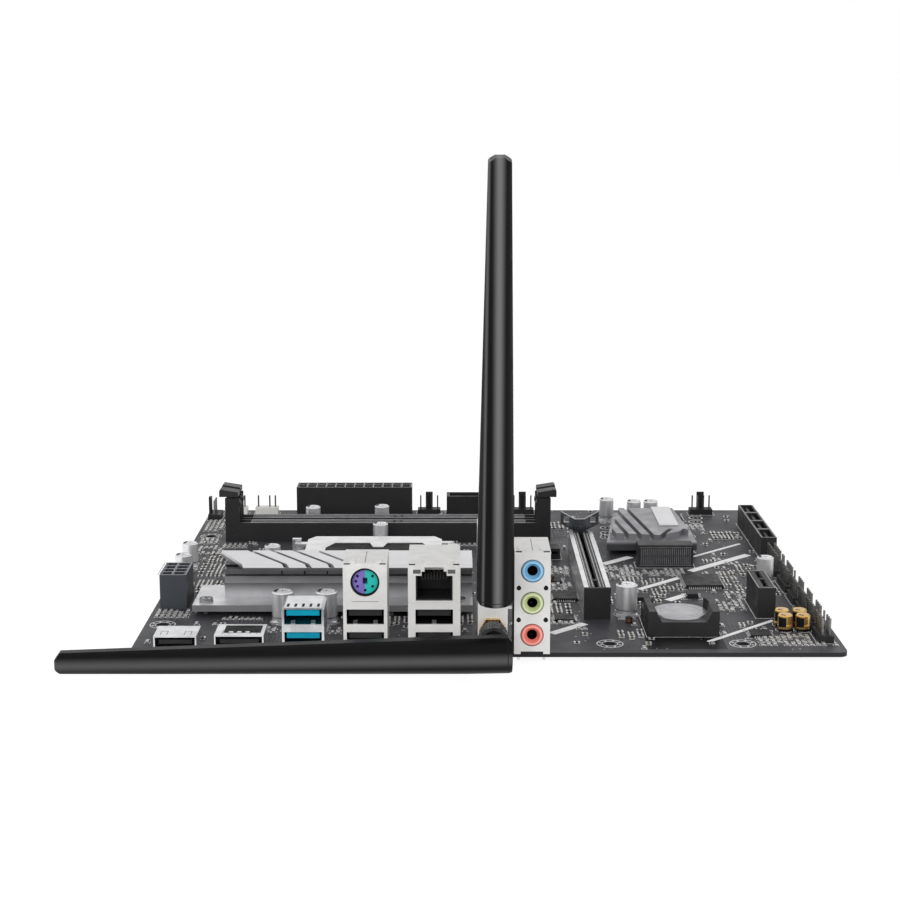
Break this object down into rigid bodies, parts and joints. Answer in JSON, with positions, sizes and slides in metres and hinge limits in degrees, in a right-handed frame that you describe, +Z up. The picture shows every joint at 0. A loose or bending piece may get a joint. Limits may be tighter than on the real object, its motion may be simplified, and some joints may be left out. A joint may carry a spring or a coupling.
{
  "type": "micro-atx mainboard with wi-fi antennas",
  "caption": "Micro-ATX mainboard with rear ports, finned heatsinks, memory and card slots, and swivelling blade antennas screwed onto its Wi-Fi jacks.",
  "frame": {"origin": "axis of the datum standoff hole, on the underside of the circuit board", "axes": "+X along the rear connector edge, to the right seen from the rear; +Y from the rear edge to the front edge; +Z up from the board"},
  "size_m": [0.2602, 0.2787, 0.1715],
  "materials": {
    "board_laminate": "solder mask, satin",
    "solder": "bright tin",
    "port_steel": "bright tinplate",
    "stack_face": "pale matt tinplate",
    "black_plastic": "matt",
    "teal_plastic": "satin",
    "ps2_plastic": "satin, two-coloured",
    "blue_plastic": "satin",
    "green_plastic": "satin",
    "pink_plastic": "satin",
    "card_laminate": "solder mask",
    "gold": "gold plated",
    "pins": "gold plated",
    "lead_jacket": "matt",
    "antenna_plastic": "fine satin",
    "radiator_strip": "copper clad",
    "sink_aluminium": "fine brushed",
    "chipset_aluminium": "grey anodised",
    "screw_steel": "zinc plated",
    "thermal_pad": "soft",
    "chip_resin": "matt moulded",
    "ferrite": "cast grey",
    "can_aluminium": "satin",
    "can_gold": "gold sleeve",
    "socket_steel": "nickel plated",
    "slot_grey": "matt",
    "slot_steel": "bright",
    "latch_smoke": "smoky",
    "cell_steel": "polished",
    "white_plastic": "matt"
  },
  "bodies": {
    "board": {"pcb": "board_laminate", "solder_leads": "solder", "hdmi_shell": "port_steel", "displayport_shell": "port_steel", "port_tongues": "black_plastic", "usb3_shell": "port_steel", "usb3_tongues": "teal_plastic", "ps2_usb_shell": "stack_face", "ps2_insert": "ps2_plastic", "lan_usb_shell": "stack_face", "lan_insert": "black_plastic", "audio_housing": "black_plastic", "audio_plate": "stack_face", "audio_jack_blue": "blue_plastic", "audio_jack_green": "green_plastic", "audio_jack_pink": "pink_plastic", "wifi_bracket": "stack_face", "wifi_card": "card_laminate", "antenna_jacks": "gold", "jack_nuts": "gold", "antenna_leads": "lead_jacket", "power_sockets": "black_plastic", "connector_pins": "pins", "vrm_heatsink": "sink_aluminium", "thermal_pads": "thermal_pad", "chips": "chip_resin", "chokes": "ferrite", "capacitors": "can_aluminium", "audio_capacitors": "can_gold", "socket_body": "black_plastic", "socket_frame": "socket_steel", "backplate": "socket_steel", "dimm_slots": "slot_grey", "pcie_x16_slot": "black_plastic", "pcie_x16_shield": "slot_steel", "pcie_x1_slot": "black_plastic", "chipset_heatsink": "chipset_aluminium", "heatsink_screws": "screw_steel", "card_sockets": "black_plastic", "battery_holder": "black_plastic", "coin_cell": "cell_steel", "drive_sockets": "black_plastic", "header_bases": "black_plastic", "white_headers": "white_plastic"},
    "upper_nut": {"upper_nut": "antenna_plastic"},
    "upper_neck": {"upper_neck": "antenna_plastic"},
    "upper_blade": {"upper_blade": "antenna_plastic", "upper_radiator": "radiator_strip"},
    "lower_nut": {"lower_nut": "antenna_plastic"},
    "lower_neck": {"lower_neck": "antenna_plastic"},
    "lower_blade": {"lower_blade": "antenna_plastic", "lower_radiator": "radiator_strip"},
    "latch_rear_left": {"dimm_latch_rear_left": "slot_grey"},
    "latch_rear_right": {"dimm_latch_rear_right": "slot_grey"},
    "latch_front_left": {"dimm_latch_front_left": "slot_grey"},
    "latch_front_right": {"dimm_latch_front_right": "slot_grey"},
    "pcie_latch": {"pcie_latch": "latch_smoke"},
    "load_plate": {"load_plate": "socket_steel", "socket_cover": "black_plastic"},
    "load_lever": {"load_lever": "socket_steel"}
  },
  "joints": [
    {"name": "upper_nut_spin", "type": "hinge", "parent": "board", "child": "upper_nut", "pos_m": [-0.04063, -0.02016, 0.0332], "axis": [0, 1, 0], "continuous": true},
    {"name": "upper_swivel", "type": "hinge", "parent": "board", "child": "upper_neck", "pos_m": [-0.04063, -0.02716, 0.0332], "axis": [0, 1, 0], "range_deg": [-90, 90]},
    {"name": "upper_tilt", "type": "hinge", "parent": "upper_neck", "child": "upper_blade", "pos_m": [-0.04063, -0.03961, 0.0332], "axis": [1, 0, 0], "range_deg": [-13, 77]},
    {"name": "lower_nut_spin", "type": "hinge", "parent": "board", "child": "lower_nut", "pos_m": [-0.04063, -0.02016, 0.0102], "axis": [0, 1, 0], "continuous": true},
    {"name": "lower_swivel", "type": "hinge", "parent": "board", "child": "lower_neck", "pos_m": [-0.04063, -0.02716, 0.0102], "axis": [0, 1, 0], "range_deg": [-180, 0]},
    {"name": "lower_tilt", "type": "hinge", "parent": "lower_neck", "child": "lower_blade", "pos_m": [-0.04063, -0.03961, 0.0102], "axis": [0, 0, 1], "range_deg": [-3.5, 86.5]},
    {"name": "latch_rear_left_swing", "type": "hinge", "parent": "board", "child": "latch_rear_left", "pos_m": [-0.14673, 0.14809, 0.0068], "axis": [0, -1, 0], "range_deg": [0, 30]},
    {"name": "latch_rear_right_swing", "type": "hinge", "parent": "board", "child": "latch_rear_right", "pos_m": [-0.01573, 0.14809, 0.0068], "axis": [0, 1, 0], "range_deg": [0, 30]},
    {"name": "latch_front_left_swing", "type": "hinge", "parent": "board", "child": "latch_front_left", "pos_m": [-0.14673, 0.15759, 0.0068], "axis": [0, -1, 0], "range_deg": [0, 30]},
    {"name": "latch_front_right_swing", "type": "hinge", "parent": "board", "child": "latch_front_right", "pos_m": [-0.01573, 0.15759, 0.0068], "axis": [0, 1, 0], "range_deg": [0, 30]},
    {"name": "pcie_latch_swing", "type": "hinge", "parent": "board", "child": "pcie_latch", "pos_m": [-0.00203, 0.12164, 0.005], "axis": [-1, 0, 0], "range_deg": [0, 25]},
    {"name": "load_plate_lift", "type": "hinge", "parent": "board", "child": "load_plate", "pos_m": [-0.11733, 0.10184, 0.0084], "axis": [0, -1, 0], "range_deg": [0, 100]},
    {"name": "load_lever_lift", "type": "hinge", "parent": "board", "child": "load_lever", "pos_m": [-0.05383, 0.10184, 0.0049], "axis": [0, 1, 0], "range_deg": [0, 120]}
  ]
}
